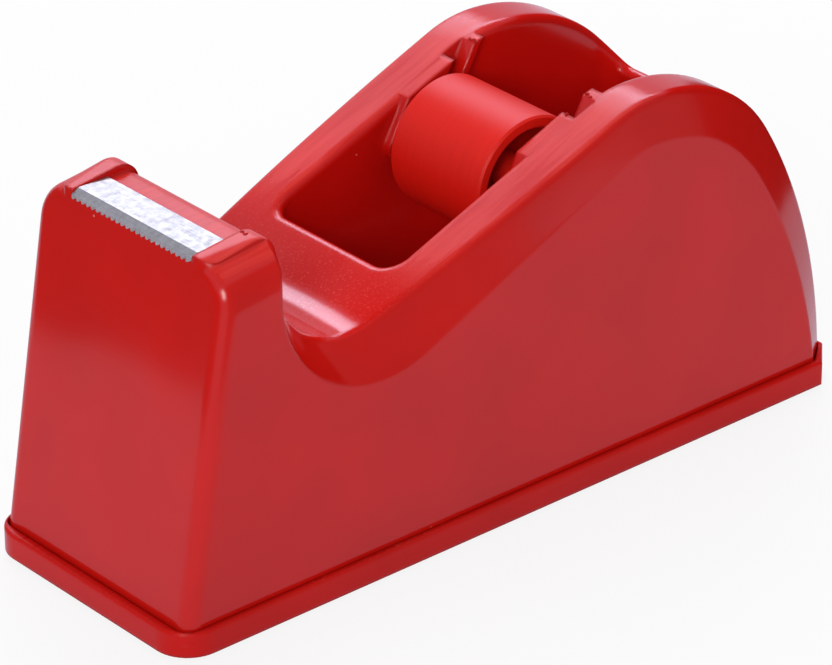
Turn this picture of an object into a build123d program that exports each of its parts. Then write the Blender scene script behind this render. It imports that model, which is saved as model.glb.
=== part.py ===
"""Desktop tape dispenser, in millimetres.

+Z is up from the table, X runs along the length with the blade at -X, and the origin is the
middle of the footprint. The moulded shell stands in a flanged tray with a ballast block inside;
a tape core roller turns on a pin whose ends drop into two slanted guide slots.
"""
import os
from math import asin, atan2, cos, hypot, radians, sin, sqrt, tan

from build123d import *

# Base tray
base_length = 160.0
base_width = 55.4
flange_height = 4.9
flange_edge = 0.6
tray_floor = 2.4
tray_front_radius = 7.0
tray_rear_chamfer = 5.6
rim_front = 2.3
rim_side = 1.45
rim_rear = 1.2
seam_gap = 0.15

# Non-slip feet
foot_diameter = 10.0
foot_height = 1.8
foot_proud = 0.8
foot_gap = 0.1
foot_from_end = 10.0
foot_from_side = 9.7

# Shell, side view: heights are above the table
wall = 2.4
front_lean = 9.3
front_radius = 3.0
front_trim = 0.02
brow_round = 1.2
post_depth = 25.3
post_height = 73.2
post_fall = 7.2
post_round = 4.0
saddle_height = 48.7
saddle_radius = 13.9
hump_height = 73.5
hump_from_rear = 48.5
hump_front_radius = 26.0
hump_rear_radius = 35.9
hump_rear_turn = 56.8

# Shell, rolled shoulder between the flat flanks and the bowed edge of the top
shoulder = 9.2
shoulder_rear = 6.0
shoulder_foot = 5.1
shoulder_post = 3.0
post_roll = 7.5
roll_ease = 5.0
crown_gap = 0.55
crown_before_hump = 13.1
cheek = 1.9

# Tape core roller and its pin
hub_diameter = 25.0
hub_length = 24.0
hub_wall = 2.4
hub_web = 2.0
hub_boss_diameter = 7.0
hub_boss_recess = 2.0
hub_edge = 0.4
hub_before_hump = 17.8
hub_height = 57.4
axle_diameter = 3.2
axle_edge = 0.4
running_gap = 0.05
end_play = 0.3

# Tape well and the slanted axle guides
tape_side_gap = 4.2
well_wall = 2.5
well_ahead = 36.2
well_behind = 45.8
well_floor = 21.3
well_corner = 14.0
well_plan_radius = 4.0
well_lip = 1.6
guide_proud = 1.6
guide_front = 7.5
guide_rear = 1.7
guide_below = 5.0
guide_corner = 2.5
slot_lean = 28.7
slot_gap = 0.1
slot_depth = 1.7

# Cutting blade
blade_width = 32.8
blade_thickness = 0.5
blade_height = 71.5
blade_flat = 6.4
blade_setback = 1.2
lip_angle = 27.0
lip_length = 2.3
tooth_count = 24
tooth_depth = 0.8
tab_width = 6.0
tab_spacing = 20.0
tab_drop = 4.0
blade_gap = 0.15
rim_round = 3.0

# Ballast and fasteners
ballast_length = 108.0
ballast_height = 12.0
ballast_side_gap = 2.6
ballast_shift = 1.0
ballast_chamfer = 1.5
hold_down_thickness = 2.0
screw_diameter = 2.9
screw_length = 9.5
screw_head_diameter = 5.6
screw_head_height = 2.0
screw_clearance = 0.2
thread_gap = 0.05
boss_diameter = 8.0
boss_joint = 6.4
boss_height = 16.0
boss_rib = 2.0
front_boss_inset = 19.7
rear_boss_inset = 18.8
boss_from_side = 10.2

# Levels and places that follow from these
tray_bottom = foot_proud
seat_level = tray_bottom + tray_floor
rim_level = tray_bottom + flange_height
shell_half = base_width / 2 - rim_side
front_x = -base_length / 2 + rim_front
rear_x = base_length / 2 - rim_rear
post_rear = front_x + post_depth
hump_x = base_length / 2 - hump_from_rear
crown_x = hump_x - crown_before_hump
crown_half = shell_half - crown_gap
hub_x = hump_x - hub_before_hump
well_half = hub_length / 2 + tape_side_gap
well_front = hub_x - well_ahead
well_rear = hub_x + well_behind
slot_width = axle_diameter + 2 * slot_gap
slot_end = well_half + slot_depth
axle_length = 2 * (slot_end - end_play)
lean_slope = tan(radians(front_lean))
front_wall = wall / cos(radians(front_lean))
seat_half = blade_width / 2 + blade_gap
above_all = post_height + hump_height


def front_at(height):
    """X of the leaning front face at a height."""
    return front_x + (height - rim_level) * lean_slope


def post_front(inset, front_inset):
    """Corner of the side view where the post's falling top meets its front."""
    fall = tan(radians(post_fall))
    back = post_rear - inset
    height = post_height - inset + (front_at(0) + front_inset - back) * fall
    height = height / (1 - lean_slope * fall)
    return Vector(front_at(height) + front_inset, height)


def side_edges(inset=0.0, rear_inset=0.0, foot_inset=0.0, front_inset=0.0, bottom=seat_level,
               post_inset=None):
    """Edges of the shell's side view, shrunk by the insets, each joined to the next."""
    post_inset = inset if post_inset is None else post_inset
    saddle = Vector(post_rear + saddle_radius + inset - post_inset, saddle_height + saddle_radius)
    hump = Vector(hump_x, hump_height - hump_front_radius)
    saddle_r = saddle_radius + inset
    hump_r = hump_front_radius - inset
    rear_r = hump_rear_radius - rear_inset

    # the slope is the line that crosses between the saddle's circle and the hump's
    apart = hump - saddle
    rise = atan2(apart.Y, apart.X) + asin((saddle_r + hump_r) / hypot(apart.X, apart.Y))
    upward = Vector(-sin(rise), cos(rise))
    slope_low = saddle - upward * saddle_r
    slope_high = hump + upward * hump_r
    saddle_mid = (radians(180) + radians(270) + rise) / 2
    saddle_low = saddle + Vector(cos(saddle_mid), sin(saddle_mid)) * saddle_r

    top = Vector(hump_x, hump_height - inset)
    turn = radians(hump_rear_turn)
    back = top - Vector(0, rear_r) + Vector(sin(turn), cos(turn)) * rear_r
    rear_foot = Vector(rear_x - foot_inset, bottom)
    front_foot = Vector(front_at(bottom) + front_inset, bottom)

    # the post's rear corner is rounded
    fall = radians(post_fall)
    post_corner = Vector(post_rear - post_inset, post_height - post_inset)
    round_r = max(post_round - post_inset / 2, post_round / 4)
    tangent = round_r * tan(radians(45) + fall / 2)
    round_top = post_corner - Vector(cos(fall), sin(fall)) * tangent
    round_back = post_corner - Vector(0, tangent)
    saddle_start = Vector(post_corner.X, saddle.Y)
    front_top = post_front(post_inset, front_inset)
    with BuildLine() as outline:
        Line(front_foot, rear_foot)
        TangentArc(back, rear_foot, tangent=(cos(turn), -sin(turn)))
        RadiusArc(top, back, rear_r)
        RadiusArc(slope_high, top, hump_r)
        Line(slope_low, slope_high)
        ThreePointArc(saddle_start, saddle_low, slope_low)
        Line(round_back, saddle_start)
        RadiusArc(round_top, round_back, round_r)
        Line(front_top, round_top)
        Line(front_foot, front_top)
    return outline.edges()


def bowed_plan(inset=0.0):
    """Fill the plan between the two bowed edges of the shell's top."""
    with Locations((crown_x, crown_half - bow_radius)):
        Circle(bow_radius - inset)
    with Locations((crown_x, bow_radius - crown_half)):
        Circle(bow_radius - inset, mode=Mode.INTERSECT)


def flat_edges():
    """Edges of the flat wall below the rolled shoulder, at its place on one side."""
    wall_plane = Plane.XZ.offset(shell_half)
    flat = side_edges(shoulder, shoulder_rear, shoulder_foot, post_inset=shoulder_post)
    return [wall_plane.from_local_coords(edge) for edge in flat]


def rolled_shoulder(flank):
    """Solid between a bowed flank and the flat wall outside it, joined edge by edge."""
    flat = flat_edges()
    faces = [flank, Face(Wire(flat))]
    for low, mark in zip(flat, side_edges()):
        middle = mark @ 0.5
        high = min(
            flank.edges(),
            key=lambda edge: hypot((edge @ 0.5).X - middle.X, (edge @ 0.5).Z - middle.Y),
        )
        if (low % 0.5).dot(high % 0.5) < 0:
            high = high.reversed()
        faces.append(Face.make_surface_from_curves(low, high))
    return Solid(Shell(faces))


def bow_half(x):
    """Half the width between the bowed edges of the top, at a place along the length."""
    return crown_half - bow_radius + sqrt(bow_radius**2 - (x - crown_x) ** 2)


def up_front_corner(edge):
    """Whether an edge is an upright front corner, where the flat walls meet the front."""
    middle = edge @ 0.5
    in_front = abs(middle.X - front_at(middle.Z)) < seam_gap
    outside = abs(middle.Y) > seat_half + cheek + seam_gap
    return in_front and middle.Z > rim_level and outside and abs((edge % 0.5).Z) > 0.5


def along_brow(edge):
    """Whether an edge is part of a bowed edge of the top."""
    points = [edge @ 0.1, edge @ 0.5, edge @ 0.9]
    bowed = all(abs(abs(point.Y) - bow_half(point.X)) < seam_gap / 5 for point in points)
    return bowed and all(point.Z > rim_level and point.X > front_at(point.Z) + seam_gap for point in points)


def round_well(edge):
    """Whether an edge goes round the mouth of the tape well."""
    middle = edge @ 0.5
    inside = well_front - 1 < middle.X < well_rear + 1 and abs(middle.Y) < well_half + 1
    return inside and middle.Z > saddle_height and abs((edge % 0.5).Z) < 0.95


def both_sides(shape):
    """The shape and its mirror image across the middle plane."""
    return [shape, shape.mirror(Plane.XZ)]


# The bowed edge goes through the crown and the post's cheek
bow_sag = crown_half - (seat_half + cheek)
bow_run = crown_x - post_front(0, 0).X
bow_radius = (bow_run**2 + bow_sag**2) / (2 * bow_sag)
rear_half = bow_half(rear_x)

# The plane of the guide slots: its Y runs up a slot from the roller's axis
slot_turn = radians(slot_lean)
slot_plane = Plane(
    origin=(hub_x, 0, hub_height),
    x_dir=(cos(slot_turn), 0, -sin(slot_turn)),
    z_dir=(0, -1, 0),
)
screw_places = [
    (front_x + front_boss_inset, shell_half - boss_from_side),
    (front_x + front_boss_inset, boss_from_side - shell_half),
    (rear_x - rear_boss_inset, shell_half - boss_from_side),
    (rear_x - rear_boss_inset, boss_from_side - shell_half),
]
foot_places = {
    "front_left": (foot_from_end - base_length / 2, foot_from_side - base_width / 2),
    "front_right": (foot_from_end - base_length / 2, base_width / 2 - foot_from_side),
    "rear_left": (base_length / 2 - foot_from_end, foot_from_side - base_width / 2),
    "rear_right": (base_length / 2 - foot_from_end, base_width / 2 - foot_from_side),
}
ballast_half = shell_half - wall - ballast_side_gap
ballast_top = seat_level + ballast_height
blade_crease = front_at(blade_height) + blade_setback
blade_rear = blade_crease + blade_flat
blade_seat = blade_height - blade_thickness
lip_turn = radians(lip_angle)
crease_under = blade_crease + blade_thickness * tan(lip_turn / 2)
os.makedirs("parts", exist_ok=True)

# Hollow of the shell: a wide part inside the flanks and a bowed part under the top
with BuildPart() as hollow:
    with BuildSketch(Plane.XZ):
        rear_wall = shoulder_rear + wall / 4
        foot_wall = shoulder_foot + wall / 4
        make_face(side_edges(shoulder, rear_wall, foot_wall, front_wall, tray_bottom))
    extrude(amount=shell_half - wall, both=True)
    with BuildPart(mode=Mode.PRIVATE) as under_top:
        with BuildSketch(Plane.XZ):
            make_face(side_edges(wall, wall, wall, front_wall, tray_bottom))
        extrude(amount=shell_half, both=True)
        with BuildSketch(Plane.XY):
            bowed_plan(wall)
        extrude(amount=above_all, mode=Mode.INTERSECT)
    add(under_top.part)
    well_length = well_rear - well_front + 2 * well_wall
    with Locations(((well_front + well_rear) / 2, 0, well_floor - well_wall)):
        Box(well_length, 2 * (well_half + well_wall), above_all,
            align=(Align.CENTER, Align.CENTER, Align.MIN), mode=Mode.SUBTRACT)

# Tape well: the room for the roll, with rounded floor and corners
with BuildPart() as well:
    with BuildSketch(Plane.XZ):
        with BuildLine():
            Polyline((well_front, above_all), (well_front, well_floor), (well_rear, well_floor),
                     (well_rear, above_all), close=True)
        make_face()
    extrude(amount=well_half, both=True)
    fillet(well.edges().filter_by(Axis.Y).group_by(Axis.Z)[0], radius=well_corner)
    fillet(well.edges().filter_by(Axis.Z), radius=well_plan_radius)

# Raised guides beside the slots, level with the top of the shell
with BuildPart() as guide:
    with BuildSketch(slot_plane.offset(well_half - guide_proud)):
        with Locations((guide_rear / 2 - guide_front / 2, above_all / 2 - guide_below - slot_width / 2)):
            RectangleRounded(slot_width + guide_front + guide_rear, above_all, guide_corner)
    extrude(amount=guide_proud + well_wall / 2)
    with BuildSketch(Plane.XZ):
        make_face(side_edges())
    extrude(amount=base_width, mode=Mode.INTERSECT)

with BuildPart() as slot:
    with BuildSketch(slot_plane.offset(well_half - 2 * guide_proud)):
        Circle(slot_width / 2)
        with Locations((0, above_all / 2)):
            Rectangle(slot_width, above_all)
    extrude(amount=slot_depth + 2 * guide_proud)

# What rolling the post's outer top edge takes off, along the line where its top meets the flat wall
post_edge = flat_edges()[-2]
roll_turn = atan2(shoulder_post, shell_half - seat_half - cheek) - radians(roll_ease)
roll_reach = post_roll * tan(radians(45) - roll_turn / 2)
with BuildPart() as rolled_edge:
    with BuildSketch(Plane(origin=post_edge @ 0, x_dir=(0, 1, 0), z_dir=post_edge % 0)):
        with BuildLine():
            low = Vector(0, -roll_reach)
            high = Vector(cos(roll_turn), sin(roll_turn)) * roll_reach
            RadiusArc(low, high, post_roll)
            Polyline(high, (high.X, post_roll), (-post_roll, post_roll), (-post_roll, low.Y), low)
        make_face()
    extrude(amount=post_depth, both=True)

# Shell
with BuildPart() as housing:
    with BuildSketch(Plane.XZ):
        make_face(side_edges())
    extrude(amount=base_width, both=True)
    with BuildSketch(Plane.XY):
        bowed_plan()
    extrude(amount=above_all, mode=Mode.INTERSECT)

    # outside each bowed flank, a flat wall with a rolled shoulder above it
    flank = housing.faces().sort_by(Axis.Y)[0]
    add(both_sides(rolled_shoulder(flank)))

    # soften the bowed edges of the top, then round the upright front corners
    fillet([edge for edge in housing.edges() if along_brow(edge)], radius=brow_round)
    # roll the post's outer top edges over, as seen from the front
    add(both_sides(rolled_edge.part), mode=Mode.SUBTRACT)

    # face the front to one plane, then round its outer corners up to the lugs
    with BuildSketch(Plane.XZ):
        with BuildLine():
            low = Vector(front_at(0) + front_trim, 0)
            high = Vector(front_at(above_all) + front_trim, above_all)
            Polyline(low, high, high - Vector(above_all, 0), low - Vector(above_all, 0), low)
        make_face()
    extrude(amount=base_width, both=True, mode=Mode.SUBTRACT)
    fillet([edge for edge in housing.edges() if up_front_corner(edge)], radius=front_radius)

    add(hollow.part, mode=Mode.SUBTRACT)
    add(well.part, mode=Mode.SUBTRACT)
    fillet([edge for edge in housing.edges() if round_well(edge)], radius=well_lip)
    add(both_sides(guide.part))
    add(both_sides(slot.part), mode=Mode.SUBTRACT)

    # seat for the blade between the cheeks, sloping off under its lip
    reach = post_depth
    with BuildSketch(Plane.XZ):
        with BuildLine():
            rim_top = (post_rear - rim_round, blade_seat)
            rim_back = (post_rear, blade_seat - rim_round)
            seat_front = (crease_under, blade_seat)
            slope_end = (crease_under - reach * cos(lip_turn), blade_seat - reach * sin(lip_turn))
            Polyline((post_rear, above_all), (slope_end[0], above_all), slope_end, seat_front, rim_top)
            RadiusArc(rim_top, rim_back, rim_round)
            Line(rim_back, (post_rear, above_all))
        make_face()
    extrude(amount=seat_half, both=True, mode=Mode.SUBTRACT)
    with Locations((blade_rear - blade_thickness / 2, 0, blade_seat)):
        with GridLocations(0, tab_spacing, 1, 2):
            Box(blade_thickness + 2 * blade_gap, tab_width + 2 * blade_gap, 2 * (tab_drop + blade_gap),
                mode=Mode.SUBTRACT)

    # screw bosses, each tied to its flank by a rib, and ribs that hold the ballast down
    with Locations([(x, y, boss_joint) for x, y in screw_places]):
        Cylinder(boss_diameter / 2, boss_height, align=(Align.CENTER, Align.CENTER, Align.MIN))
    for x, y in screw_places:
        side = 1 if y > 0 else -1
        with Locations((x, y + side * boss_from_side / 2, boss_joint)):
            Box(boss_rib, boss_from_side - wall / 2, boss_height,
                align=(Align.CENTER, Align.CENTER, Align.MIN))
    with Locations([(x, y, boss_joint) for x, y in screw_places]):
        Cylinder(screw_diameter / 2 + thread_gap, 2 * screw_length, mode=Mode.SUBTRACT)
    with Locations(((well_front + well_rear) / 2, 0, ballast_top)):
        with GridLocations((well_rear - well_front) / 2, 0, 2, 1):
            Box(hold_down_thickness, 2 * well_half, well_floor - well_wall / 2 - ballast_top,
                align=(Align.CENTER, Align.CENTER, Align.MIN))
housing.part.label = "housing"
export_step(housing.part, "parts/housing.step")

# Tray: a flanged floor with a sunk seat for the shell's foot
with BuildPart() as base_tray:
    with BuildSketch(Plane.XY.offset(tray_bottom)) as footprint:
        Rectangle(base_length, base_width)
        fillet(footprint.vertices().group_by(Axis.X)[0], radius=tray_front_radius)
        chamfer(footprint.vertices().group_by(Axis.X)[-1], length=tray_rear_chamfer)
    extrude(amount=flange_height)
    fillet(base_tray.faces().sort_by(Axis.Z)[-1].outer_wire().edges(), radius=flange_edge)
    with BuildSketch(Plane.XY.offset(seat_level)) as seat:
        with BuildLine():
            Polyline(
                (front_at(seat_level), shell_half),
                (rear_x - shoulder_foot, shell_half),
                (rear_x, rear_half),
                (rear_x, -rear_half),
                (rear_x - shoulder_foot, -shell_half),
                (front_at(seat_level), -shell_half),
                close=True,
            )
        make_face()
        offset(amount=seam_gap, kind=Kind.INTERSECTION)
        fillet(seat.vertices().group_by(Axis.X)[0], radius=front_radius)
    extrude(amount=flange_height, mode=Mode.SUBTRACT)
    with Locations([(x, y, seat_level) for x, y in screw_places]):
        Cylinder(boss_diameter / 2, boss_joint - seat_level, align=(Align.CENTER, Align.CENTER, Align.MIN))
    with Locations([(x, y, tray_bottom) for x, y in screw_places]):
        Cylinder(screw_diameter / 2 + screw_clearance, 4 * flange_height, mode=Mode.SUBTRACT)
        Cylinder(screw_head_diameter / 2 + screw_clearance, 2 * (screw_head_height + screw_clearance),
                 mode=Mode.SUBTRACT)
    with Locations([(x, y, tray_bottom) for x, y in foot_places.values()]):
        Cylinder(foot_diameter / 2 + foot_gap, 2 * (foot_height - foot_proud), mode=Mode.SUBTRACT)
base_tray.part.label = "base_tray"
export_step(base_tray.part, "parts/base_tray.step")

# Ballast: a cast bar on the tray's floor, between the bosses
with BuildPart() as ballast_block:
    with Locations((ballast_shift, 0, seat_level)):
        Box(ballast_length, 2 * ballast_half, ballast_height, align=(Align.CENTER, Align.CENTER, Align.MIN))
    chamfer(ballast_block.edges().filter_by(Axis.Z), length=2 * ballast_chamfer)
    chamfer(ballast_block.faces().sort_by(Axis.Z)[-1].edges(), length=ballast_chamfer)
ballast_block.part.label = "ballast_block"
export_step(ballast_block.part, "parts/ballast_block.step")

# Blade: a bent strip, its lip pinked into teeth and two tabs turned down behind
with BuildPart() as cutting_blade:
    with BuildSketch(Plane.XZ):
        with BuildLine():
            lip = Vector(-cos(lip_turn), -sin(lip_turn)) * (lip_length - tooth_depth)
            under = Vector(sin(lip_turn), -cos(lip_turn)) * blade_thickness
            crease = Vector(blade_crease, blade_height)
            Polyline(crease, crease + lip, crease + lip + under, (crease_under, blade_seat),
                     (blade_rear, blade_seat), (blade_rear, blade_height), close=True)
        make_face()
    extrude(amount=blade_width / 2, both=True)
    tooth_pitch = blade_width / tooth_count
    edge_plane = Plane(
        origin=(crease.X + lip.X, 0, crease.Y + lip.Y),
        x_dir=(0, 1, 0),
        z_dir=(-sin(lip_turn), 0, cos(lip_turn)),
    )
    with BuildSketch(edge_plane):
        with GridLocations(tooth_pitch, 0, tooth_count, 1):
            Polygon((-tooth_pitch / 2, 0), (tooth_pitch / 2, 0), (0, tooth_depth), align=None)
    extrude(amount=-blade_thickness)
    with Locations((blade_rear - blade_thickness / 2, 0, blade_height)):
        with GridLocations(0, tab_spacing, 1, 2):
            Box(blade_thickness, tab_width, blade_thickness + tab_drop,
                align=(Align.CENTER, Align.CENTER, Align.MAX))
cutting_blade.part.label = "cutting_blade"
export_step(cutting_blade.part, "parts/cutting_blade.step")

# Roller: sleeve, middle web and a boss that runs on the pin
roller_plane = Plane(origin=(hub_x, 0, hub_height), x_dir=(1, 0, 0), z_dir=(0, -1, 0))
hub_bore = hub_diameter / 2 - hub_wall
with BuildPart() as tape_hub:
    with BuildSketch(roller_plane):
        Circle(hub_diameter / 2)
        Circle(hub_bore, mode=Mode.SUBTRACT)
    extrude(amount=hub_length / 2, both=True)
    chamfer(tape_hub.edges().filter_by(GeomType.CIRCLE), length=hub_edge)
    with BuildSketch(roller_plane):
        Circle(hub_bore + hub_wall / 2)
    extrude(amount=hub_web / 2, both=True)
    with BuildSketch(roller_plane):
        Circle(hub_boss_diameter / 2)
    extrude(amount=hub_length / 2 - hub_boss_recess, both=True)
    with BuildSketch(roller_plane):
        Circle(axle_diameter / 2 + running_gap)
    extrude(amount=hub_length, both=True, mode=Mode.SUBTRACT)
tape_hub.part.label = "tape_hub"
export_step(tape_hub.part, "parts/tape_hub.step")

# Pin: its ends lie at the bottom of the slots
with BuildPart() as hub_axle:
    with BuildSketch(roller_plane):
        Circle(axle_diameter / 2)
    extrude(amount=axle_length / 2, both=True)
    chamfer(hub_axle.edges().filter_by(GeomType.CIRCLE), length=axle_edge)
hub_axle.part.label = "hub_axle"
export_step(hub_axle.part, "parts/hub_axle.step")

# Feet: discs let into the tray's underside
for corner, (x, y) in foot_places.items():
    with BuildPart() as foot:
        with Locations((x, y, 0)):
            Cylinder(foot_diameter / 2, foot_height, align=(Align.CENTER, Align.CENTER, Align.MIN))
    foot.part.label = f"foot_{corner}"
    export_step(foot.part, f"parts/foot_{corner}.step")

# Screws: from under the tray up into the shell's bosses
with BuildPart() as base_screws:
    head_top = tray_bottom + screw_head_height + screw_clearance
    with Locations([(x, y, head_top) for x, y in screw_places]):
        Cylinder(screw_head_diameter / 2, screw_head_height, align=(Align.CENTER, Align.CENTER, Align.MAX))
        Cylinder(screw_diameter / 2, screw_length, align=(Align.CENTER, Align.CENTER, Align.MIN))
base_screws.part.label = "base_screws"
export_step(base_screws.part, "parts/base_screws.step")
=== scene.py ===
"""Looks of a red desktop tape dispenser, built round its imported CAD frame.

The shell, tray, roller, cutter, pin and ballast keep their CAD shapes and get the finishes of
moulded plastic, steel and iron. The feet and screws are modelled here, with rounded rims and a
driver's cross, and so are the bits of flash that the mould leaves on the shell.
"""

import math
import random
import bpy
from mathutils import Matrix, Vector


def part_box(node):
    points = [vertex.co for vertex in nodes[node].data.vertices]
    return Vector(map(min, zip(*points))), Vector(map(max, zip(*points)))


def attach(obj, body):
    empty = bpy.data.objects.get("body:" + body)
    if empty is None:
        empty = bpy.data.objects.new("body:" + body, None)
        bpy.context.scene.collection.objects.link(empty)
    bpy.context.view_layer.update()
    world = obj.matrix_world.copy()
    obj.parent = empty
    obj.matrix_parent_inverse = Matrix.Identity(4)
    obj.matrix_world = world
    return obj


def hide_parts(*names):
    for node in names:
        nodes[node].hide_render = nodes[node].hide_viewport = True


bl_info = {
    "name": "Tape dispenser looks",
    "version": (1, 0, 0),
    "blender": (4, 5, 0),
    "location": "3D View > Sidebar > Dispenser",
    "description": "Finishes and studio stage for a moulded desktop tape dispenser",
    "category": "Object",
}

import bmesh
import bpy
from mathutils import Matrix, Quaternion, Vector

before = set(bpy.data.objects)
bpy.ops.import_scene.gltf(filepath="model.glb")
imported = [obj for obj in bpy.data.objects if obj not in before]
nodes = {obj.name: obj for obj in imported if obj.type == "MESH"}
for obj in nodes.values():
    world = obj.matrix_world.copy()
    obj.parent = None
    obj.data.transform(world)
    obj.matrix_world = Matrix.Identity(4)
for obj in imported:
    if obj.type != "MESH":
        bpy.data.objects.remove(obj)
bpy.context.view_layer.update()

MM = 0.001
FEET = ["foot_front_left", "foot_front_right", "foot_rear_left", "foot_rear_right"]

# spans of X where the shell's finish changes: behind the lugs, past the saddle, before the crest
LUG_END = (-52 * MM, -47 * MM)
SADDLE_END = (-30 * MM, -10 * MM)
CREST_START = (25 * MM, 34 * MM)
# upward part of the normal from which a face counts as level, and that at which it does in full
LEVEL_FROM, LEVEL_FULL = 0.62, 0.86
LAND_SLOPE = math.radians(22.5)

# smooth shading stops at edges sharper than these
SHARP_EDGE = math.radians(32)
SHARP_FLASH = math.radians(60)

# sides of the round shapes
FOOT_SIDES, HEAD_SIDES, FLOOR_SIDES = 64, 48, 96
# roundings are made of this many strips
RIM_STRIPS = 4

FLOOR_RADIUS = 8.0
SENSOR_MM = 36.0

# settings that many nodes share
MULTIPLY = {"operation": "MULTIPLY"}
MULTIPLY_ADD = {"operation": "MULTIPLY_ADD"}
SMOOTH = {"interpolation_type": "SMOOTHSTEP"}
MIX_COLOUR = {"data_type": "RGBA"}
MULTIPLY_COLOUR = {"data_type": "RGBA", "blend_type": "MULTIPLY"}


def linear(hex_colour):
    """Linear RGBA of an sRGB hex colour such as #c8140e."""
    rgb = [int(hex_colour[i:i + 2], 16) / 255 for i in (1, 3, 5)]
    return [c / 12.92 if c <= 0.04045 else ((c + 0.055) / 1.055) ** 2.4 for c in rgb] + [1.0]


def per_mm(size):
    """Texture scale that gives features of a size in millimetres on Object coordinates."""
    return 1 / (size * MM)


def add_node(tree, kind, settings=None, **inputs):
    """Add a node, set its properties, and fill its sockets with values or links from other sockets.

    A socket is named, with _ for a space, or numbered: i6 and i7 are the colours of a colour mix.
    """
    node = tree.nodes.new(kind)
    for name, value in (settings or {}).items():
        setattr(node, name, value)
    for name, value in inputs.items():
        key = int(name[1:]) if name[0] == "i" and name[1:].isdigit() else name.replace("_", " ")
        if isinstance(value, bpy.types.NodeSocket):
            tree.links.new(value, node.inputs[key])
        else:
            node.inputs[key].default_value = value
    return node


def blank_material(name):
    """A material with an empty node tree."""
    material = bpy.data.materials.new(name)
    material.use_nodes = True
    material.node_tree.nodes.clear()
    return material


def new_material(name):
    """A material, its node tree, its Principled shader and its Texture Coordinate node."""
    material = blank_material(name)
    tree = material.node_tree
    shader = add_node(tree, "ShaderNodeBsdfPrincipled")
    add_node(tree, "ShaderNodeOutputMaterial", Surface=shader.outputs["BSDF"])
    coords = add_node(tree, "ShaderNodeTexCoord")
    return material, tree, shader, coords


def glowing_card(name, tone):
    """A studio card that glows with its tone, the same in any light; it is no lamp, and gloss shows
    it as a painted reflection.
    """
    material = blank_material(name)
    tree = material.node_tree
    glow = add_node(tree, "ShaderNodeEmission", Color=tone, Strength=1.0)
    add_node(tree, "ShaderNodeOutputMaterial", Surface=glow.outputs["Emission"])
    return material


def wear(node_name, material):
    """Give a CAD node one material in all its slots."""
    slots = nodes[node_name].data.materials
    slots.clear()
    slots.append(material)


class DispenserFinish(bpy.types.PropertyGroup):
    """Colours and surface finish of the pieces."""

    shell_red: bpy.props.FloatVectorProperty(
        name="Shell red", description="Pigment of the moulded shell and tray", subtype="COLOR",
        size=4, min=0, max=1, default=linear("#c8140e"))
    # the land red is paler than the shell red: partly rub marks, partly painted sheen on the upward
    # lands
    land_sheen_red: bpy.props.FloatVectorProperty(
        name="Land red", description="Red of the rubbed top faces beside the tape well",
        subtype="COLOR", size=4, min=0, max=1, default=linear("#dc3e38"))
    roller_red: bpy.props.FloatVectorProperty(
        name="Roller red", description="Pigment of the tape core roller", subtype="COLOR", size=4,
        min=0, max=1, default=linear("#dc1c10"))
    strip_steel: bpy.props.FloatVectorProperty(
        name="Cutter steel", description="Tint of the toothed steel strip", subtype="COLOR", size=4,
        min=0, max=1, default=linear("#cac9c6"))
    wire_steel: bpy.props.FloatVectorProperty(
        name="Wire steel", description="Tint of the pin and the screws", subtype="COLOR", size=4,
        min=0, max=1, default=linear("#c6c7c9"))
    rubber: bpy.props.FloatVectorProperty(
        name="Rubber", description="Colour of the non-slip feet", subtype="COLOR", size=4,
        min=0, max=1, default=linear("#2b2a29"))
    iron: bpy.props.FloatVectorProperty(
        name="Iron", description="Colour of the cast ballast", subtype="COLOR", size=4,
        min=0, max=1, default=linear("#55524f"))
    gloss: bpy.props.FloatProperty(
        name="Shell roughness", description="Roughness of the polished flanks", subtype="FACTOR",
        min=0, max=1, default=0.13)
    shine: bpy.props.FloatProperty(
        name="Shell shine", description="Specular level of the shell", subtype="FACTOR", min=0,
        max=1, default=0.3)
    land_roughness: bpy.props.FloatProperty(
        name="Land roughness", description="Roughness of the rubbed top faces", subtype="FACTOR",
        min=0, max=1, default=0.28)


class DispenserSizes(bpy.types.PropertyGroup):
    """Sizes of the pieces that are modelled here."""

    foot_rim: bpy.props.FloatProperty(
        name="Foot rim", description="Rounding of a foot's lower rim", unit="LENGTH",
        default=0.5 * MM)
    foot_groove: bpy.props.FloatProperty(
        name="Foot groove", description="Depth of the ring grooves in a foot's tread",
        unit="LENGTH", default=0.25 * MM)
    cross_length: bpy.props.FloatProperty(
        name="Cross length", description="Length of the driver's cross in a screw head",
        unit="LENGTH", default=3.2 * MM)
    cross_width: bpy.props.FloatProperty(
        name="Cross width", description="Width of the cross's arms", unit="LENGTH",
        default=0.7 * MM)
    cross_depth: bpy.props.FloatProperty(
        name="Cross depth", description="Depth of the cross", unit="LENGTH", default=1.1 * MM)
    head_rim: bpy.props.FloatProperty(
        name="Head rim", description="Rounding of a screw head's rim", unit="LENGTH",
        default=0.6 * MM)
    flash: bpy.props.FloatProperty(
        name="Flash", description="Size of a bit of mould flash", unit="LENGTH", default=0.7 * MM)


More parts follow.
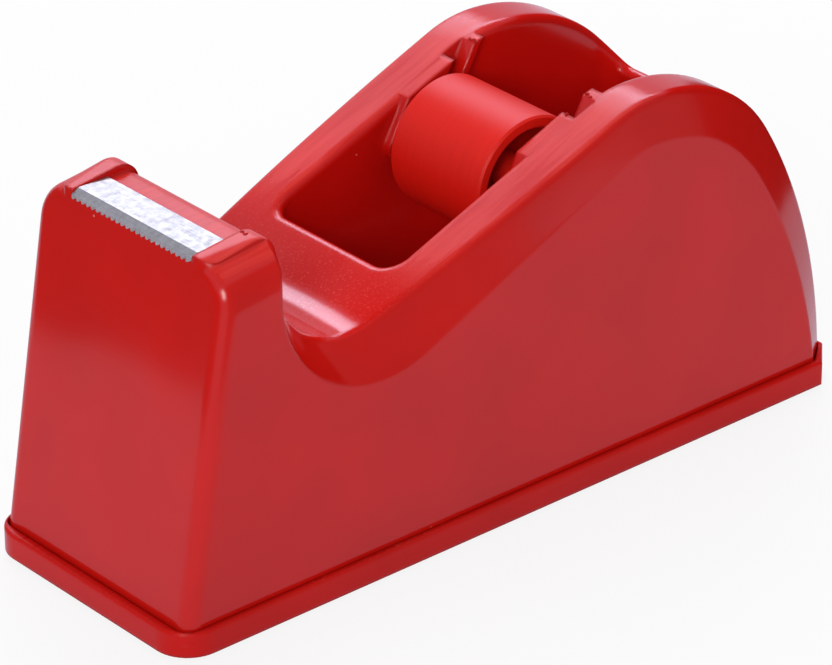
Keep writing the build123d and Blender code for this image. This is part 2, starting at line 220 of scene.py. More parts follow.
class DispenserStage(bpy.types.PropertyGroup):
    """Camera and light of the studio."""

    camera_place: bpy.props.FloatVectorProperty(
        name="Camera place", description="Where the camera stands", subtype="XYZ", unit="LENGTH",
        default=(-0.5320, -0.6122, 0.4580))
    camera_heading: bpy.props.FloatProperty(
        name="Heading", description="Direction of view, turned from +X", subtype="ANGLE",
        default=math.radians(49.17))
    camera_dip: bpy.props.FloatProperty(
        name="Dip", description="Angle of view below the horizon", subtype="ANGLE",
        default=math.radians(28.0))
    camera_roll: bpy.props.FloatProperty(
        name="Roll", description="Turn of the picture", subtype="ANGLE", default=math.radians(-0.1))
    lens: bpy.props.FloatProperty(
        name="Lens", description="Focal length for a sensor 36 mm wide", unit="CAMERA",
        default=218.5)
    floor: bpy.props.FloatVectorProperty(
        name="Floor", description="Colour of the paper floor", subtype="COLOR", size=4, min=0,
        max=1, default=linear("#e6e6e8"))
    floor_white: bpy.props.FloatProperty(
        name="Floor white", description="Share of plain white in the floor as it is seen",
        subtype="FACTOR", min=0, max=1, default=0.86)
    right_card: bpy.props.FloatVectorProperty(
        name="Right card", description="Middle of the grey card beside the flank", subtype="XYZ",
        unit="LENGTH", default=(0.06, -0.155, 0.111))
    right_tone: bpy.props.FloatVectorProperty(
        name="Right tone", description="Tone of the card beside the flank", subtype="COLOR", size=4,
        min=0, max=1, default=linear("#989094"))
    rear_card: bpy.props.FloatVectorProperty(
        name="Rear card", description="Middle of the black card beyond the hump", subtype="XYZ",
        unit="LENGTH", default=(0.185, -0.05, 0.101))
    rear_tone: bpy.props.FloatVectorProperty(
        name="Rear tone", description="Tone of the card beyond the hump", subtype="COLOR", size=4,
        min=0, max=1, default=linear("#181214"))
    left_card: bpy.props.FloatVectorProperty(
        name="Left card", description="Middle of the dark card beyond the post", subtype="XYZ",
        unit="LENGTH", default=(-0.18, 0.115, 0.066))
    left_tone: bpy.props.FloatVectorProperty(
        name="Left tone", description="Tone of the card beyond the post", subtype="COLOR", size=4,
        min=0, max=1, default=linear("#665a5c"))
    ceiling: bpy.props.FloatVectorProperty(
        name="Ceiling", description="Middle of the grey card overhead", subtype="XYZ",
        unit="LENGTH", default=(0.0, 0.16, 0.75))
    ceiling_tone: bpy.props.FloatVectorProperty(
        name="Ceiling tone", description="Tone of the card overhead", subtype="COLOR", size=4,
        min=0, max=1, default=linear("#6a6062"))
    mirrored: bpy.props.FloatVectorProperty(
        name="Mirrored white", description="Colour of the studio's white where gloss mirrors it",
        subtype="COLOR", size=4, min=0, max=1, default=linear("#d6d9ec"))
    softbox_tint: bpy.props.FloatVectorProperty(
        name="Softbox tint", description="Colour of the softbox's light", subtype="COLOR", size=4,
        min=0, max=1, default=linear("#e6e8ff"))
    softbox: bpy.props.FloatProperty(
        name="Softbox power", description="Power of the softbox behind", unit="POWER", default=6.6)
    key: bpy.props.FloatProperty(
        name="Key power", description="Power of the key light beside the camera", unit="POWER",
        default=6.9)
    top: bpy.props.FloatProperty(
        name="Top power", description="Power of the light overhead", unit="POWER", default=5.8)
    fill: bpy.props.FloatProperty(
        name="Fill", description="Strength of the light from all round", min=0, default=0.4)


def moulded_abs(name, colour, land_sheen_colour, gloss, land_roughness, specular):
    """Injection-moulded ABS: polished flanks, rubbed lands with paler streaks along the slope
    (partly rub marks, partly painted sheen), painted glints by the saddle, dust.
    """
    material, tree, shader, coords = new_material(name)
    place = coords.outputs["Object"]
    facing = add_node(tree, "ShaderNodeSeparateXYZ", i0=coords.outputs["Normal"])

    # hands and tape rubbed the lands and the lugs, so they are less glossy than the flanks, the
    # saddle and the crest; they are paler too, partly from rub marks and partly as painted sheen
    level = add_node(tree, "ShaderNodeMapRange", SMOOTH,
                     Value=facing.outputs["Z"], From_Min=LEVEL_FROM, From_Max=LEVEL_FULL)
    spot = add_node(tree, "ShaderNodeSeparateXYZ", i0=place)
    past_saddle = add_node(tree, "ShaderNodeMapRange", SMOOTH,
                           Value=spot.outputs["X"], From_Min=SADDLE_END[0], From_Max=SADDLE_END[1])
    before_crest = add_node(tree, "ShaderNodeMapRange", SMOOTH,
                            Value=spot.outputs["X"], From_Min=CREST_START[0],
                            From_Max=CREST_START[1], To_Min=1.0, To_Max=0.0)
    on_lug = add_node(tree, "ShaderNodeMapRange", SMOOTH,
                      Value=spot.outputs["X"], From_Min=LUG_END[0], From_Max=LUG_END[1],
                      To_Min=1.0, To_Max=0.0)
    rubbed = add_node(tree, "ShaderNodeMath", MULTIPLY_ADD, i0=past_saddle.outputs["Result"],
                      i1=before_crest.outputs["Result"], i2=on_lug.outputs["Result"])
    upward = add_node(tree, "ShaderNodeMath", MULTIPLY, i0=level.outputs["Result"],
                      i1=rubbed.outputs[0])

    # streaks about 2 mm wide and 90 mm long follow the slope of the lands
    along = add_node(tree, "ShaderNodeMapping", Vector=place,
                     Rotation=(0, LAND_SLOPE, 0), Scale=(per_mm(90), per_mm(2.0), per_mm(9)))
    streaks = add_node(tree, "ShaderNodeTexNoise", Vector=along.outputs["Vector"], Scale=1.0,
                       Detail=3.0, Roughness=0.65)
    streak_band = add_node(tree, "ShaderNodeMapRange", Value=streaks.outputs["Fac"], From_Min=0.35,
                           From_Max=0.7, To_Max=0.8)
    streak_land = add_node(tree, "ShaderNodeMath", MULTIPLY,
                           i0=streak_band.outputs["Result"], i1=upward.outputs[0])

    # slow swirls of the pigment, about 25 mm across
    swirl = add_node(tree, "ShaderNodeTexNoise", Vector=place, Scale=per_mm(25), Detail=2.0)
    swirl_range = add_node(tree, "ShaderNodeMapRange", Value=swirl.outputs["Fac"], From_Min=0.3,
                           From_Max=0.7, To_Min=0.93, To_Max=1.05)
    # painted sheen, partly rub marks: the upward lands take the paler land red in the streaks
    pigment_and_sheen = add_node(tree, "ShaderNodeMix", MIX_COLOUR, i0=streak_land.outputs[0],
                       i6=colour, i7=land_sheen_colour)
    swirled = add_node(tree, "ShaderNodeMix", MULTIPLY_COLOUR, i0=1.0,
                       i6=pigment_and_sheen.outputs[2], i7=swirl_range.outputs["Result"])

    # painted glints: on level faces beside the saddle, specks of paler orange in the base colour
    # stand in for the sparkle of the mould's grain, drawn at 0.5 mm so that it shows
    grain = add_node(tree, "ShaderNodeTexNoise", Vector=place, Scale=per_mm(0.5), Detail=2.0)
    painted_glint = add_node(tree, "ShaderNodeMapRange", Value=grain.outputs["Fac"], From_Min=0.56,
                     From_Max=0.72, To_Max=0.22)
    by_saddle = add_node(tree, "ShaderNodeMapRange", Value=spot.outputs["X"],
                         From_Min=SADDLE_END[0], From_Max=SADDLE_END[1], To_Min=1.0, To_Max=0.0)
    off_lug = add_node(tree, "ShaderNodeMath", {"operation": "SUBTRACT", "use_clamp": True},
                       i0=by_saddle.outputs["Result"], i1=on_lug.outputs["Result"])
    painted_glint_saddle = add_node(tree, "ShaderNodeMath", MULTIPLY, i0=painted_glint.outputs["Result"],
                            i1=off_lug.outputs[0])
    painted_glint_level = add_node(tree, "ShaderNodeMath", MULTIPLY, i0=painted_glint_saddle.outputs[0],
                           i1=level.outputs["Result"])
    # the painted glints go into the base colour here
    grained = add_node(tree, "ShaderNodeMix", MIX_COLOUR, i0=painted_glint_level.outputs[0],
                       i6=swirled.outputs[2], i7=linear("#ee6a58"))

    # specks of dust, one in a cell of 11 mm, at most 0.023 of a cell, or 0.25 mm, in radius
    cells = add_node(tree, "ShaderNodeTexVoronoi", Vector=place, Scale=per_mm(11))
    speck_size = add_node(tree, "ShaderNodeSeparateXYZ", i0=cells.outputs["Color"])
    speck_reach = add_node(tree, "ShaderNodeMath", MULTIPLY, i0=speck_size.outputs["X"], i1=0.023)
    speck = add_node(tree, "ShaderNodeMath", {"operation": "LESS_THAN"},
                     i0=cells.outputs["Distance"], i1=speck_reach.outputs[0])
    speck_tint = add_node(tree, "ShaderNodeMath", MULTIPLY, i0=speck.outputs[0], i1=0.45)
    dusted = add_node(tree, "ShaderNodeMix", MIX_COLOUR, i0=speck_tint.outputs[0],
                      i6=grained.outputs[2], i7=linear("#e8b0ac"))
    tree.links.new(dusted.outputs[2], shader.inputs["Base Color"])

    # roughness: polished flanks, satin lands, duller in the streaks
    rough = add_node(tree, "ShaderNodeMapRange", Value=upward.outputs[0], To_Min=gloss,
                     To_Max=land_roughness)
    streak_rough = add_node(tree, "ShaderNodeMath", MULTIPLY_ADD, i0=streak_land.outputs[0],
                            i1=0.16, i2=rough.outputs["Result"])
    tree.links.new(streak_rough.outputs[0], shader.inputs["Roughness"])

    # relief: the grain, the streaks, the long waves of cooled plastic, and edges eased by the mould
    grain_land = add_node(tree, "ShaderNodeMath", MULTIPLY, i0=grain.outputs["Fac"],
                          i1=upward.outputs[0])
    streak_height = add_node(tree, "ShaderNodeMath", MULTIPLY_ADD, i0=streak_land.outputs[0],
                             i1=0.5, i2=grain_land.outputs[0])
    eased = add_node(tree, "ShaderNodeBevel", {"samples": 6}, Radius=1.0 * MM)
    fine = add_node(tree, "ShaderNodeBump", Strength=0.25, Distance=0.06 * MM,
                    Height=streak_height.outputs[0], Normal=eased.outputs["Normal"])
    ripple = add_node(tree, "ShaderNodeTexNoise", Vector=place, Scale=per_mm(24), Detail=1.0)
    bump = add_node(tree, "ShaderNodeBump", Strength=0.6, Distance=0.4 * MM,
                    Height=ripple.outputs["Fac"], Normal=fine.outputs["Normal"])
    tree.links.new(bump.outputs["Normal"], shader.inputs["Normal"])
    shader.inputs["IOR"].default_value = 1.54
    shader.inputs["Specular IOR Level"].default_value = specular
    return material


def satin_polypropylene(name, colour):
    """Satin moulded polypropylene: a soft sheen, a fine grain and rub marks round the sleeve."""
    material, tree, shader, coords = new_material(name)
    place = coords.outputs["Object"]
    # rub marks run round the sleeve, so they are thin along its axis, about 0.8 mm
    bands = add_node(tree, "ShaderNodeMapping", Vector=place,
                     Scale=(per_mm(14), per_mm(0.8), per_mm(14)))
    rub = add_node(tree, "ShaderNodeTexNoise", Vector=bands.outputs["Vector"], Scale=1.0,
                   Detail=3.0)
    paler = add_node(tree, "ShaderNodeMapRange", Value=rub.outputs["Fac"], From_Min=0.35,
                     From_Max=0.75, To_Min=0.97, To_Max=1.03)
    tone = add_node(tree, "ShaderNodeMix", MULTIPLY_COLOUR, i0=1.0,
                    i6=colour, i7=paler.outputs["Result"])
    tree.links.new(tone.outputs[2], shader.inputs["Base Color"])
    rough = add_node(tree, "ShaderNodeMapRange", Value=rub.outputs["Fac"], From_Min=0.3,
                     From_Max=0.7, To_Min=0.42, To_Max=0.48)
    tree.links.new(rough.outputs["Result"], shader.inputs["Roughness"])
    grain = add_node(tree, "ShaderNodeTexNoise", Vector=place, Scale=per_mm(0.45), Detail=2.0)
    bump = add_node(tree, "ShaderNodeBump", Strength=0.3, Distance=0.05 * MM,
                    Height=grain.outputs["Fac"])
    tree.links.new(bump.outputs["Normal"], shader.inputs["Normal"])
    shader.inputs["IOR"].default_value = 1.49
    shader.inputs["Specular IOR Level"].default_value = 0.28
    return material


def plated_strip(name, colour):
    """Zinc-plated strip steel: bright mottled plating, faint rolling lines along the strip."""
    material, tree, shader, coords = new_material(name)
    place = coords.outputs["Object"]
    # plating blooms about 1.4 mm across, broken up, over faint lines along the strip
    bloom = add_node(tree, "ShaderNodeTexNoise", Vector=place, Scale=per_mm(1.4), Detail=4.0,
                     Roughness=0.7)
    lines = add_node(tree, "ShaderNodeMapping", Vector=place,
                     Scale=(per_mm(0.35), per_mm(16), per_mm(0.35)))
    rolling = add_node(tree, "ShaderNodeTexNoise", Vector=lines.outputs["Vector"], Scale=1.0,
                       Detail=2.0)
    both = add_node(tree, "ShaderNodeMath", MULTIPLY_ADD, i0=rolling.outputs["Fac"], i1=0.35,
                    i2=bloom.outputs["Fac"])
    tone = add_node(tree, "ShaderNodeMapRange", Value=both.outputs[0], From_Min=0.45, From_Max=0.9,
                    To_Min=1.0, To_Max=0.7)
    tint = add_node(tree, "ShaderNodeMix", MULTIPLY_COLOUR, i0=1.0,
                    i6=colour, i7=tone.outputs["Result"])
    tree.links.new(tint.outputs[2], shader.inputs["Base Color"])
    rough = add_node(tree, "ShaderNodeMapRange", Value=both.outputs[0], From_Min=0.45, From_Max=0.9,
                     To_Min=0.36, To_Max=0.56)
    tree.links.new(rough.outputs["Result"], shader.inputs["Roughness"])
    bump = add_node(tree, "ShaderNodeBump", Strength=0.2, Distance=0.02 * MM,
                    Height=both.outputs[0])
    tree.links.new(bump.outputs["Normal"], shader.inputs["Normal"])
    shader.inputs["Metallic"].default_value = 1.0
    return material


def drawn_wire(name, colour):
    """Drawn steel wire: fine lines along the pin, with a little tarnish."""
    material, tree, shader, coords = new_material(name)
    place = coords.outputs["Object"]
    lines = add_node(tree, "ShaderNodeMapping", Vector=place,
                     Scale=(per_mm(0.3), per_mm(12), per_mm(0.3)))
    draw = add_node(tree, "ShaderNodeTexNoise", Vector=lines.outputs["Vector"], Scale=1.0,
                    Detail=2.0)
    tarnish = add_node(tree, "ShaderNodeTexNoise", Vector=place, Scale=per_mm(5), Detail=3.0)
    tone = add_node(tree, "ShaderNodeMapRange", Value=tarnish.outputs["Fac"], From_Min=0.35,
                    From_Max=0.7, To_Min=1.0, To_Max=0.78)
    tint = add_node(tree, "ShaderNodeMix", MULTIPLY_COLOUR, i0=1.0,
                    i6=colour, i7=tone.outputs["Result"])
    tree.links.new(tint.outputs[2], shader.inputs["Base Color"])
    rough = add_node(tree, "ShaderNodeMapRange", Value=draw.outputs["Fac"], To_Min=0.22,
                     To_Max=0.45)
    tree.links.new(rough.outputs["Result"], shader.inputs["Roughness"])
    bump = add_node(tree, "ShaderNodeBump", Strength=0.2, Distance=0.01 * MM,
                    Height=draw.outputs["Fac"])
    tree.links.new(bump.outputs["Normal"], shader.inputs["Normal"])
    shader.inputs["Metallic"].default_value = 1.0
    return material


def grained_dull(name, colour, grain_mm, roughness, metallic):
    """A dull grained surface, for moulded rubber and for iron as it comes from the sand."""
    material, tree, shader, coords = new_material(name)
    place = coords.outputs["Object"]
    grain = add_node(tree, "ShaderNodeTexNoise", Vector=place, Scale=per_mm(grain_mm), Detail=4.0)
    tone = add_node(tree, "ShaderNodeMapRange", Value=grain.outputs["Fac"], From_Min=0.3,
                    From_Max=0.7, To_Min=0.8, To_Max=1.15)
    tint = add_node(tree, "ShaderNodeMix", MULTIPLY_COLOUR, i0=1.0,
                    i6=colour, i7=tone.outputs["Result"])
    tree.links.new(tint.outputs[2], shader.inputs["Base Color"])
    rough = add_node(tree, "ShaderNodeMapRange", Value=grain.outputs["Fac"], To_Min=roughness - 0.1,
                     To_Max=roughness + 0.1)
    tree.links.new(rough.outputs["Result"], shader.inputs["Roughness"])
    bump = add_node(tree, "ShaderNodeBump", Strength=0.4, Distance=grain_mm * 0.2 * MM,
                    Height=grain.outputs["Fac"])
    tree.links.new(bump.outputs["Normal"], shader.inputs["Normal"])
    shader.inputs["Metallic"].default_value = metallic
    return material


def only(geom, kind):
    """The items of one kind, such as bmesh.types.BMVert, in an operator's result."""
    return [item for item in geom if isinstance(item, kind)]


def round_rim(shape, rim, radius):
    """Round the edges of a rim that are still there."""
    bmesh.ops.bevel(shape, geom=[edge for edge in rim if edge.is_valid], offset=radius,
                    segments=RIM_STRIPS, profile=0.5, affect="EDGES", material=-1)


def add_piece(name, shape, material, body):
    """Turn a bmesh into a piece at the origin that rides on a CAD body."""
    bmesh.ops.remove_doubles(shape, verts=shape.verts, dist=0.001 * MM)
    bmesh.ops.recalc_face_normals(shape, faces=shape.faces)
    for face in shape.faces:
        face.smooth = True
    mesh = bpy.data.meshes.new(name)
    shape.to_mesh(mesh)
    shape.free()
    mesh.set_sharp_from_angle(angle=SHARP_EDGE)
    mesh.materials.append(material)
    piece = bpy.data.objects.new(name, mesh)
    bpy.context.scene.collection.objects.link(piece)
    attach(piece, body)
    return piece


def add_backdrop(name, shape, material):
    """Turn a bmesh into an object of the studio, which isn't part of the dispenser."""
    mesh = bpy.data.meshes.new(name)
    shape.to_mesh(mesh)
    shape.free()
    mesh.materials.append(material)
    backdrop = bpy.data.objects.new(name, mesh)
    bpy.context.scene.collection.objects.link(backdrop)
    return backdrop


def studio_white(tree, mirrored):
    """Two sockets: 1 for rays that show the studio, and its white, tinted where it is mirrored."""
    path = add_node(tree, "ShaderNodeLightPath")
    straight = add_node(tree, "ShaderNodeMath", {"operation": "ADD"},
                        i0=path.outputs["Is Camera Ray"], i1=path.outputs["Is Glossy Ray"])
    shown = add_node(tree, "ShaderNodeMath", {"operation": "ADD", "use_clamp": True},
                     i0=straight.outputs[0], i1=path.outputs["Is Transmission Ray"])
    white = add_node(tree, "ShaderNodeMix", MIX_COLOUR, i0=path.outputs["Is Glossy Ray"],
                     i6=(1, 1, 1, 1), i7=mirrored)
    return shown.outputs[0], white.outputs[2]


class DISPENSER_OT_shell(bpy.types.Operator):
    """Finish the moulded shell"""

    bl_idname = "dispenser.shell"
    bl_label = "Shell"

    def execute(self, context):
        finish = context.scene.dispenser_finish
        plastic = moulded_abs("moulded_abs_red", finish.shell_red, finish.land_sheen_red, finish.gloss,
                              finish.land_roughness, finish.shine)
        wear("housing", plastic)
        return {"FINISHED"}


class DISPENSER_OT_tray(bpy.types.Operator):
    """Finish the flanged tray"""

    bl_idname = "dispenser.tray"
    bl_label = "Tray"

    def execute(self, context):
        finish = context.scene.dispenser_finish
        # the tray has the shell's plastic, a little duller and with no rubbed lands
        side_roughness, top_roughness = finish.gloss + 0.08, finish.gloss + 0.12
        plastic = moulded_abs("moulded_abs_tray", finish.shell_red, finish.shell_red,
                              side_roughness, top_roughness, finish.shine / 2)
        wear("base_tray", plastic)
        return {"FINISHED"}


class DISPENSER_OT_roller(bpy.types.Operator):
    """Finish the tape core roller and its pin"""

    bl_idname = "dispenser.roller"
    bl_label = "Roller"

    def execute(self, context):
        finish = context.scene.dispenser_finish
        wear("tape_hub", satin_polypropylene("satin_polypropylene_red", finish.roller_red))
        wear("hub_axle", drawn_wire("drawn_steel_pin", finish.wire_steel))
        return {"FINISHED"}


class DISPENSER_OT_cutter(bpy.types.Operator):
    """Finish the toothed cutter strip"""

    bl_idname = "dispenser.cutter"
    bl_label = "Cutter"

    def execute(self, context):
        steel = plated_strip("zinc_plated_strip", context.scene.dispenser_finish.strip_steel)
        wear("cutting_blade", steel)
        return {"FINISHED"}


class DISPENSER_OT_ballast(bpy.types.Operator):
    """Finish the cast ballast"""

    bl_idname = "dispenser.ballast"
    bl_label = "Ballast"

    def execute(self, context):
        iron = grained_dull("cast_iron", context.scene.dispenser_finish.iron, grain_mm=1.2,
                            roughness=0.7, metallic=1.0)
        wear("ballast_block", iron)
        return {"FINISHED"}


class DISPENSER_OT_feet(bpy.types.Operator):
    """Model the non-slip feet: discs with a rounded rim and ring grooves in the tread"""

    bl_idname = "dispenser.feet"
    bl_label = "Feet"

    def execute(self, context):
        sizes = context.scene.dispenser_sizes
        rubber = grained_dull("moulded_rubber", context.scene.dispenser_finish.rubber, grain_mm=0.6,
                              roughness=0.75, metallic=0.0)
        for node_name in FEET:
            low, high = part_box(node_name)
            radius = (high.x - low.x) / 2
            shape = bmesh.new()
            bmesh.ops.create_cone(shape, cap_ends=True, segments=FOOT_SIDES, radius1=radius,
                                  radius2=radius, depth=high.z - low.z)
            bmesh.ops.translate(shape, verts=shape.verts, vec=(low + high) / 2)
            tread = min(shape.faces, key=lambda face: face.calc_center_median().z)
            rim = list(tread.edges)
            # two ring grooves: a narrow band between two insets goes up into the rubber
            groove_width = 0.1 * radius
            outer_land, inner_land = 0.28 * radius, 0.3 * radius
            for gap in (outer_land, inner_land):
                bmesh.ops.inset_region(shape, faces=[tread], thickness=gap, use_even_offset=True)
                band = bmesh.ops.inset_region(shape, faces=[tread], thickness=groove_width,
                                              use_even_offset=True)
                ring = bmesh.ops.extrude_face_region(shape, geom=band["faces"])
                lifted = only(ring["geom"], bmesh.types.BMVert)
                bmesh.ops.translate(shape, verts=lifted, vec=(0, 0, sizes.foot_groove))
                bmesh.ops.delete(shape, geom=[face for face in band["faces"] if face.is_valid],
                                 context="FACES_ONLY")
            round_rim(shape, rim, sizes.foot_rim)
            foot = add_piece("rubber_" + node_name, shape, rubber, "dispenser")
            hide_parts(node_name)
        return {"FINISHED"}


class DISPENSER_OT_screws(bpy.types.Operator):
    """Model the four base screws: pan heads with a driver's cross, shanks with a point"""

    bl_idname = "dispenser.screws"
    bl_label = "Screws"

    def execute(self, context):
        sizes = context.scene.dispenser_sizes
        steel = drawn_wire("plated_screw_steel", context.scene.dispenser_finish.wire_steel)
        low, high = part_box("base_screws")
        length = high.z - low.z
        head_radius, head_height = 2.8 * MM, 2.0 * MM
        shank_radius = 1.45 * MM
        tip_radius, point_length = 0.3 * MM, 2 * MM
        cross_taper = 0.7
        snap = 1e-7
        shape = bmesh.new()
        bmesh.ops.create_circle(shape, cap_ends=True, segments=HEAD_SIDES, radius=head_radius)
        # cut the head's face along the sides and ends of the cross
        arm, half = sizes.cross_width / 2, sizes.cross_length / 2
        for axis in (Vector((1, 0, 0)), Vector((0, 1, 0))):
            for offset in (-half, -arm, arm, half):
                bmesh.ops.bisect_plane(shape, geom=shape.verts[:] + shape.edges[:] + shape.faces[:],
                                       plane_co=axis * offset, plane_no=axis, dist=snap)
        cross = []
        for face in shape.faces:
            x, y = (abs(c) for c in face.calc_center_median().xy)
            if (x < arm and y < half) or (y < arm and x < half):
                cross.append(face)
        rim = [edge for edge in shape.edges if edge.is_boundary]
        sunk = bmesh.ops.extrude_face_region(shape, geom=cross)
        bottom = only(sunk["geom"], bmesh.types.BMVert)
        bmesh.ops.translate(shape, verts=bottom, vec=(0, 0, sizes.cross_depth))
        bmesh.ops.scale(shape, verts=bottom, vec=(cross_taper, cross_taper, 1))
        bmesh.ops.delete(shape, geom=[face for face in cross if face.is_valid],
                         context="FACES_ONLY")
        # the head's side, its underside, the shank and its point, one ring after another
        rings = ((head_radius, head_height), (shank_radius, head_height),
                 (shank_radius, length - point_length), (tip_radius, length))
        level, reach = 0.0, head_radius
        edges = rim
        for radius, height in rings:
            grown = bmesh.ops.extrude_edge_only(shape, edges=edges)
            verts = only(grown["geom"], bmesh.types.BMVert)
            edges = only(grown["geom"], bmesh.types.BMEdge)
            bmesh.ops.scale(shape, verts=verts, vec=(radius / reach, radius / reach, 1))
            bmesh.ops.translate(shape, verts=verts, vec=(0, 0, height - level))
            level, reach = height, radius
        bmesh.ops.contextual_create(shape, geom=edges)
        round_rim(shape, rim, sizes.head_rim)
        # one screw in each corner of the group's box, each turned its own way
        first = shape.verts[:] + shape.edges[:] + shape.faces[:]
        places = [(x, y) for x in (low.x + head_radius, high.x - head_radius)
                  for y in (low.y + head_radius, high.y - head_radius)]
        turns = random.Random(3)
        for x, y in places:
            copy = bmesh.ops.duplicate(shape, geom=first)
            verts = only(copy["geom"], bmesh.types.BMVert)
            bmesh.ops.rotate(shape, verts=verts, cent=(0, 0, 0),
                             matrix=Matrix.Rotation(turns.uniform(0, math.pi), 3, "Z"))
            bmesh.ops.translate(shape, verts=verts, vec=(x, y, low.z))
        bmesh.ops.delete(shape, geom=only(first, bmesh.types.BMVert), context="VERTS")
        screws = add_piece("cross_head_screws", shape, steel, "dispenser")
        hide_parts("base_screws")
        return {"FINISHED"}


class DISPENSER_OT_flash(bpy.types.Operator):
    """Model the ragged bits of plastic that the mould leaves at the slot mouths and on the post"""

    bl_idname = "dispenser.flash"
    bl_label = "Flash"

    def execute(self, context):
        finish, size = context.scene.dispenser_finish, context.scene.dispenser_sizes.flash
        side_roughness, top_roughness = 0.3, 0.4
        plastic = moulded_abs("moulded_abs_flash", finish.shell_red, finish.land_sheen_red,
                              side_roughness, top_roughness, finish.shine)
        shell = nodes["housing"]
        chance = random.Random(11)
        # where bits sit, in millimetres: along both edges of each slot's mouth, and on one lug.
        # Each drifts a little, drops on the shell from above it, and gets its own ragged shape
        rows = [(19.0, side * y) for side in (-1, 1) for y in (14.7, 15.2, 15.8, 16.4, 17.1)]
        rows += [(24.1, side * y) for side in (-1, 1) for y in (14.7, 15.3, 16.1)]
        rows += [(-56.5, y) for y in (-17.2, -18.3)]
        drift_x, drift_y, above_shell = 0.15, 0.2, 120
        thinnest, thickest = 0.6, 1.5
        ragged = 0.25
        shape = bmesh.new()
        for x, y in rows:
            start = Vector((x + chance.uniform(-drift_x, drift_x),
                            y + chance.uniform(-drift_y, drift_y), above_shell)) * MM
            found, spot = shell.ray_cast(start, Vector((0, 0, -1)))[:2]
            if not found:
                raise RuntimeError(f"no shell under the flash at {x}, {y}")
            bit = bmesh.ops.create_icosphere(shape, subdivisions=2, radius=size / 2)["verts"]
            stretch = [chance.uniform(thinnest, thickest) for axis in range(3)]
            bmesh.ops.scale(shape, verts=bit, vec=stretch)
            for vert in bit:
                vert.co *= chance.uniform(1 - ragged, 1 + ragged)
            turn = Matrix.Rotation(chance.uniform(0, math.pi), 3, "Z")
            bmesh.ops.rotate(shape, verts=bit, matrix=turn)
            bmesh.ops.translate(shape, verts=bit, vec=spot)
        bits = add_piece("mould_flash", shape, plastic, "dispenser")
        bits.data.set_sharp_from_angle(angle=SHARP_FLASH)
        return {"FINISHED"}


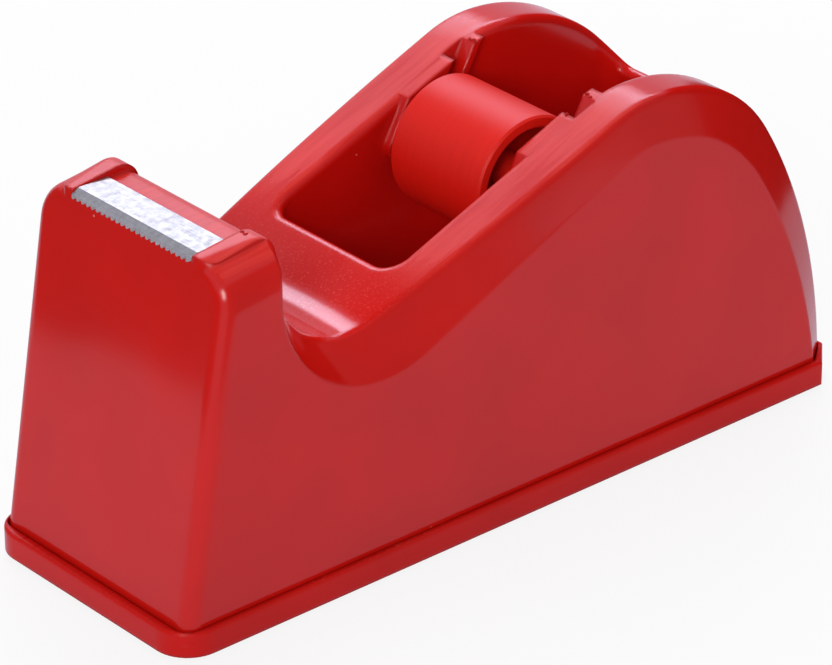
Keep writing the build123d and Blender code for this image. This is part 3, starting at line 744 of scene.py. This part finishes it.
class DISPENSER_OT_stage(bpy.types.Operator):
    """Set up the floor, the lights and the camera"""

    bl_idname = "dispenser.stage"
    bl_label = "Stage"

    def execute(self, context):
        stage = context.scene.dispenser_stage
        scene = context.scene
        scene.view_settings.view_transform = "Standard"

        # floor: matt paper with a faint mottle 40 mm across, lifted towards plain white where it is
        # seen, by less than the whole, so that the object's shadow stays on it
        paper, tree, shader, coords = new_material("matt_paper")
        mottle = add_node(tree, "ShaderNodeTexNoise", Vector=coords.outputs["Object"],
                          Scale=per_mm(40), Detail=2.0)
        tone = add_node(tree, "ShaderNodeMapRange", Value=mottle.outputs["Fac"], To_Min=0.99,
                        To_Max=1.0)
        tint = add_node(tree, "ShaderNodeMix", MULTIPLY_COLOUR, i0=1.0,
                        i6=stage.floor, i7=tone.outputs["Result"])
        tree.links.new(tint.outputs[2], shader.inputs["Base Color"])
        shader.inputs["Roughness"].default_value = 0.9
        shader.inputs["Specular IOR Level"].default_value = 0.1
        shown, white = studio_white(tree, stage.mirrored)
        share = add_node(tree, "ShaderNodeMath", MULTIPLY, i0=shown, i1=stage.floor_white)
        glow = add_node(tree, "ShaderNodeEmission", Color=white, Strength=1.0)
        lifted = add_node(tree, "ShaderNodeMixShader", i0=share.outputs[0],
                          i1=shader.outputs["BSDF"], i2=glow.outputs["Emission"])
        tree.links.new(lifted.outputs["Shader"], tree.nodes["Material Output"].inputs["Surface"])
        shape = bmesh.new()
        bmesh.ops.create_circle(shape, cap_ends=True, segments=FLOOR_SIDES, radius=FLOOR_RADIUS)
        add_backdrop("floor", shape, paper)

        # cards round and above the object that glow with their own tone and are seen only in the
        # gloss,
        # as painted reflections: the shoulder, the top of the front and the sloping lands mirror
        # them and stay darker than the rest. Each has its tilt and its turn in degrees, then its
        # width and height
        cards = (("right_card", stage.right_card, stage.right_tone, 90, 0, 0.4, 0.22),
                 ("rear_card", stage.rear_card, stage.rear_tone, 90, 90, 0.3, 0.2),
                 ("left_card", stage.left_card, stage.left_tone, 90, -122, 0.5, 0.13),
                 ("ceiling_card", stage.ceiling, stage.ceiling_tone, 0, 0, 1.0, 1.0))
        for name, middle, tone, tilt, turn, width, height in cards:
            shape = bmesh.new()
            bmesh.ops.create_grid(shape, x_segments=1, y_segments=1, size=0.5)
            bmesh.ops.scale(shape, verts=shape.verts, vec=(width, height, 1))
            for angle, axis in ((tilt, "X"), (turn, "Z")):
                bmesh.ops.rotate(shape, verts=shape.verts,
                                 matrix=Matrix.Rotation(math.radians(angle), 3, axis))
            bmesh.ops.translate(shape, verts=shape.verts, vec=middle)
            card = add_backdrop(name, shape, glowing_card("glowing_card_" + name, tone))
            card.visible_camera = False
            card.visible_diffuse = False
            card.visible_shadow = False

        # world: white where it is seen or mirrored, a gentle fill for the rest
        world = bpy.data.worlds.new("studio")
        scene.world = world
        world.use_nodes = True
        tree = world.node_tree
        tree.nodes.clear()
        shown, white = studio_white(tree, stage.mirrored)
        strength = add_node(tree, "ShaderNodeMapRange", Value=shown, To_Min=stage.fill, To_Max=1.0)
        sky = add_node(tree, "ShaderNodeBackground", Color=white,
                       Strength=strength.outputs["Result"])
        add_node(tree, "ShaderNodeOutputWorld", Surface=sky.outputs["Background"])

        # a softbox behind, where level faces mirror it, a key beside the camera, and a plain light
        # overhead that no gloss shows
        plain = (1, 1, 1, 1)
        lamps = (("softbox", stage.softbox, stage.softbox_tint, 0.9, 0.36, (0.60, 0.80, 0.87)),
                 ("key", stage.key, plain, 0.45, 0.45, (-0.93, -0.70, 0.62)),
                 ("top", stage.top, plain, 0.8, 0.8, (0.3, 0.35, 1.1)))
        shell_middle = Vector((0, 0, 0.04))
        for name, power, tint, width, height, place in lamps:
            lamp = bpy.data.lights.new(name, "AREA")
            lamp.shape = "ELLIPSE"
            lamp.size = width
            lamp.size_y = height
            lamp.energy = power
            lamp.color = tint[:3]
            holder = bpy.data.objects.new(name, lamp)
            holder.location = place
            holder.rotation_mode = "QUATERNION"
            aim = shell_middle - Vector(place)
            holder.rotation_quaternion = aim.to_track_quat("-Z", "Y")
            holder.visible_glossy = name != "top"
            scene.collection.objects.link(holder)

        # camera at the photograph's viewing angle
        heading, dip = stage.camera_heading, stage.camera_dip
        view = Vector((math.cos(heading) * math.cos(dip), math.sin(heading) * math.cos(dip),
                       -math.sin(dip)))
        camera = bpy.data.cameras.new("camera")
        camera.lens = stage.lens
        camera.sensor_width = SENSOR_MM
        holder = bpy.data.objects.new("camera", camera)
        holder.location = stage.camera_place
        holder.rotation_mode = "QUATERNION"
        roll = Quaternion((0, 0, 1), stage.camera_roll)
        holder.rotation_quaternion = view.to_track_quat("-Z", "Y") @ roll
        scene.collection.objects.link(holder)
        scene.camera = holder
        return {"FINISHED"}


class DISPENSER_PT_looks(bpy.types.Panel):
    """Pieces, finishes and stage of the tape dispenser"""

    bl_idname = "DISPENSER_PT_looks"
    bl_label = "Tape dispenser"
    bl_space_type = "VIEW_3D"
    bl_region_type = "UI"
    bl_category = "Dispenser"

    def draw(self, context):
        for operator in OPERATORS:
            self.layout.operator(operator.bl_idname)
        for group_name, group_class in GROUPS.items():
            box = self.layout.box()
            for name in group_class.__annotations__:
                box.prop(getattr(context.scene, group_name), name)


OPERATORS = (
    DISPENSER_OT_shell,
    DISPENSER_OT_tray,
    DISPENSER_OT_roller,
    DISPENSER_OT_cutter,
    DISPENSER_OT_ballast,
    DISPENSER_OT_feet,
    DISPENSER_OT_screws,
    DISPENSER_OT_flash,
    DISPENSER_OT_stage,
)
GROUPS = {
    "dispenser_finish": DispenserFinish,
    "dispenser_sizes": DispenserSizes,
    "dispenser_stage": DispenserStage,
}


def register():
    for group in GROUPS.values():
        bpy.utils.register_class(group)
    for name, group in GROUPS.items():
        setattr(bpy.types.Scene, name, bpy.props.PointerProperty(type=group))
    for operator in OPERATORS:
        bpy.utils.register_class(operator)
    bpy.utils.register_class(DISPENSER_PT_looks)


def unregister():
    bpy.utils.unregister_class(DISPENSER_PT_looks)
    for operator in reversed(OPERATORS):
        bpy.utils.unregister_class(operator)
    for name in GROUPS:
        delattr(bpy.types.Scene, name)
    for group in reversed(GROUPS.values()):
        bpy.utils.unregister_class(group)


def main():
    """Build the looks piece by piece."""
    register()
    bpy.ops.dispenser.shell()
    bpy.ops.dispenser.tray()
    bpy.ops.dispenser.roller()
    bpy.ops.dispenser.cutter()
    bpy.ops.dispenser.ballast()
    bpy.ops.dispenser.feet()
    bpy.ops.dispenser.screws()
    bpy.ops.dispenser.flash()
    bpy.ops.dispenser.stage()


if __name__ == "__main__":
    main()
